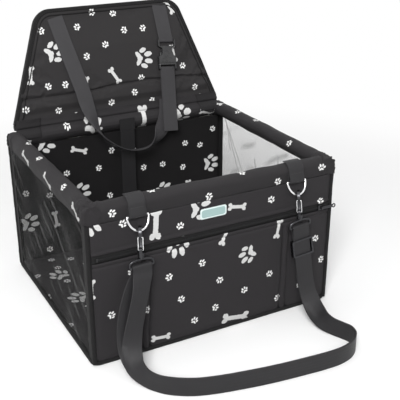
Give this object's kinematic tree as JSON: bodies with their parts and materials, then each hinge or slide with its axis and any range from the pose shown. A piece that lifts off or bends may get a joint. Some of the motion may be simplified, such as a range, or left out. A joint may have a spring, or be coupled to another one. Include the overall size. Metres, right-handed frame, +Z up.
{
  "type": "dog car seat",
  "caption": "Soft box booster seat for a small dog, with net sides, a leaning padded flap with a buckled strap, an inner tether and a carry strap on snap hooks.",
  "frame": {"origin": "middle of the base, on the surface that the seat stands on", "axes": "+Z up, +X to the right when seen from the front, +Y towards the back flap, so the zip pocket faces -Y"},
  "size_m": [0.4125, 0.5625, 0.4388],
  "materials": {
    "cloth": "black coated oxford cloth with a pale print",
    "tape": "black folded binding tape",
    "lining": "black lining cloth with a pale print",
    "net": "black open net",
    "foam": "soft foam sheet",
    "board": "stiff board",
    "tube": "satin plastic tube",
    "webbing": "woven webbing",
    "nickel": "polished nickel plating",
    "gunmetal": "satin black-nickel plating",
    "buckle": "satin moulded plastic",
    "zip": "woven tape with a fine coil",
    "label": "soft woven label, blank"
  },
  "bodies": {
    "seat_box": {"base_cover": "cloth", "base_board": "board", "floor_lining": "lining", "edge_binding": "tape", "front_panel": "cloth", "front_foam": "foam", "front_lining": "lining", "front_top_band": "cloth", "front_pocket": "cloth", "back_panel": "cloth", "back_foam": "foam", "back_lining": "lining", "left_net": "net", "right_net": "net", "rim_sleeve_front": "cloth", "rim_sleeve_right": "cloth", "rim_sleeve_back": "cloth", "rim_sleeve_left": "cloth", "rim_tube_front": "tube", "rim_tube_right": "tube", "rim_tube_back": "tube", "rim_tube_left": "tube", "zip_tape": "zip", "zip_coil": "zip", "cloth_label": "label", "ring_tab_left": "webbing", "ring_tab_right": "webbing", "tether_tab": "webbing", "tether_upper_webbing": "webbing"},
    "flap": {"flap_front_cover": "cloth", "flap_back_cover": "cloth", "flap_foam": "foam", "flap_hem": "tape", "flap_binding": "tape"},
    "headrest_strap": {"headrest_strap_long": "webbing", "headrest_strap_short": "webbing", "buckle_female": "buckle"},
    "buckle_plug": {"buckle_male": "buckle", "headrest_strap_tail": "webbing"},
    "buckle_arm_left": {"buckle_press_arm_left": "buckle"},
    "buckle_arm_right": {"buckle_press_arm_right": "buckle"},
    "zip_runner": {"zip_slider": "gunmetal"},
    "zip_tab": {"zip_pull": "gunmetal"},
    "ring_left": {"d_ring_left": "nickel"},
    "ring_right": {"d_ring_right": "nickel"},
    "carry_strap": {"carry_strap_webbing": "webbing", "snap_hook_eye_left": "gunmetal", "snap_hook_eye_right": "gunmetal"},
    "hook_left": {"snap_hook_left": "gunmetal"},
    "gate_left": {"snap_gate_left": "nickel"},
    "hook_right": {"snap_hook_right": "gunmetal"},
    "gate_right": {"snap_gate_right": "nickel"},
    "adjuster": {"strap_adjuster": "gunmetal"},
    "tether": {"tether_lower_webbing": "webbing", "snap_hook_eye_tether": "gunmetal"},
    "hook_tether": {"snap_hook_tether": "gunmetal"},
    "gate_tether": {"snap_gate_tether": "nickel"}
  },
  "joints": [
    {"name": "flap_fold", "type": "hinge", "parent": "seat_box", "child": "flap", "pos_m": [0, 0.172, 0.2551], "axis": [1, 0, 0], "range_deg": [0, 90]},
    {"name": "headrest_strap_swing", "type": "hinge", "parent": "flap", "child": "headrest_strap", "pos_m": [0, 0.20537, 0.42854], "axis": [1, 0, 0], "range_deg": [-45, 0]},
    {"name": "buckle_release", "type": "slide", "parent": "headrest_strap", "child": "buckle_plug", "axis": [-0.0872, -0.2829, -0.9552], "range_m": [0, 0.028]},
    {"name": "buckle_press_left", "type": "hinge", "parent": "buckle_plug", "child": "buckle_arm_left", "pos_m": [0.08334, 0.17729, 0.33375], "axis": [0, 0.9588, -0.284], "range_deg": [0, 5], "stiffness_Nm_per_rad": 0.02, "springref_deg": -5.73},
    {"name": "buckle_press_right", "type": "hinge", "parent": "buckle_plug", "child": "buckle_arm_right", "pos_m": [0.10545, 0.17674, 0.33189], "axis": [0, -0.9588, 0.284], "range_deg": [0, 5], "stiffness_Nm_per_rad": 0.02, "springref_deg": -5.73},
    {"name": "zip_slide", "type": "slide", "parent": "seat_box", "child": "zip_runner", "axis": [-1, 0, 0], "range_m": [0, 0.364]},
    {"name": "zip_pull_turn", "type": "hinge", "parent": "zip_runner", "child": "zip_tab", "pos_m": [0.18145, -0.1838, 0.17], "axis": [0, 0, -1], "range_deg": [0, 170]},
    {"name": "ring_left_swing", "type": "hinge", "parent": "seat_box", "child": "ring_left", "pos_m": [-0.13, -0.1836, 0.2255], "axis": [-1, 0, 0], "range_deg": [0, 120]},
    {"name": "ring_right_swing", "type": "hinge", "parent": "seat_box", "child": "ring_right", "pos_m": [0.13, -0.1836, 0.2255], "axis": [-1, 0, 0], "range_deg": [0, 120]},
    {"name": "carry_strap_swing", "type": "hinge", "parent": "ring_left", "child": "carry_strap", "pos_m": [-0.13, -0.19173, 0.20635], "axis": [-1, 0, 0], "range_deg": [0, 45]},
    {"name": "hook_left_swivel", "type": "hinge", "parent": "carry_strap", "child": "hook_left", "pos_m": [-0.13, -0.19173, 0.20635], "axis": [0, 0, 1], "range_deg": [-8, 62]},
    {"name": "gate_left_press", "type": "hinge", "parent": "hook_left", "child": "gate_left", "pos_m": [-0.13122, -0.19402, 0.17795], "axis": [-0.8829, 0.4695, 0], "range_deg": [0, 25], "stiffness_Nm_per_rad": 0.004, "springref_deg": -28.65},
    {"name": "hook_right_swivel", "type": "hinge", "parent": "carry_strap", "child": "hook_right", "pos_m": [0.13, -0.19173, 0.20635], "axis": [-0.1045, 0, 0.9945], "range_deg": [0, 64]},
    {"name": "gate_right_press", "type": "hinge", "parent": "hook_right", "child": "gate_right", "pos_m": [0.13152, -0.19388, 0.17796], "axis": [-0.8245, 0.5592, -0.0867], "range_deg": [0, 25], "stiffness_Nm_per_rad": 0.004, "springref_deg": -28.65},
    {"name": "adjuster_slide", "type": "slide", "parent": "carry_strap", "child": "adjuster", "axis": [0.0835, -0.1261, -0.9885], "range_m": [0, 0.018]},
    {"name": "tether_swing", "type": "hinge", "parent": "seat_box", "child": "tether", "pos_m": [0.004, 0.155, 0.186], "axis": [-1, 0, 0], "range_deg": [0, 75]},
    {"name": "hook_tether_swivel", "type": "hinge", "parent": "tether", "child": "hook_tether", "pos_m": [0.004, 0.155, 0.0295], "axis": [0, 0, 1], "continuous": true},
    {"name": "gate_tether_press", "type": "hinge", "parent": "hook_tether", "child": "gate_tether", "pos_m": [0.004, 0.1524, 0.0579], "axis": [1, 0, 0], "range_deg": [0, 25], "stiffness_Nm_per_rad": 0.004, "springref_deg": -28.65}
  ],
  "couplings": [
    {"joint": "headrest_strap_swing", "follows": "flap_fold", "ratio": -0.5},
    {"joint": "ring_right_swing", "follows": "ring_left_swing", "ratio": 1},
    {"joint": "buckle_press_right", "follows": "buckle_press_left", "ratio": 1}
  ]
}
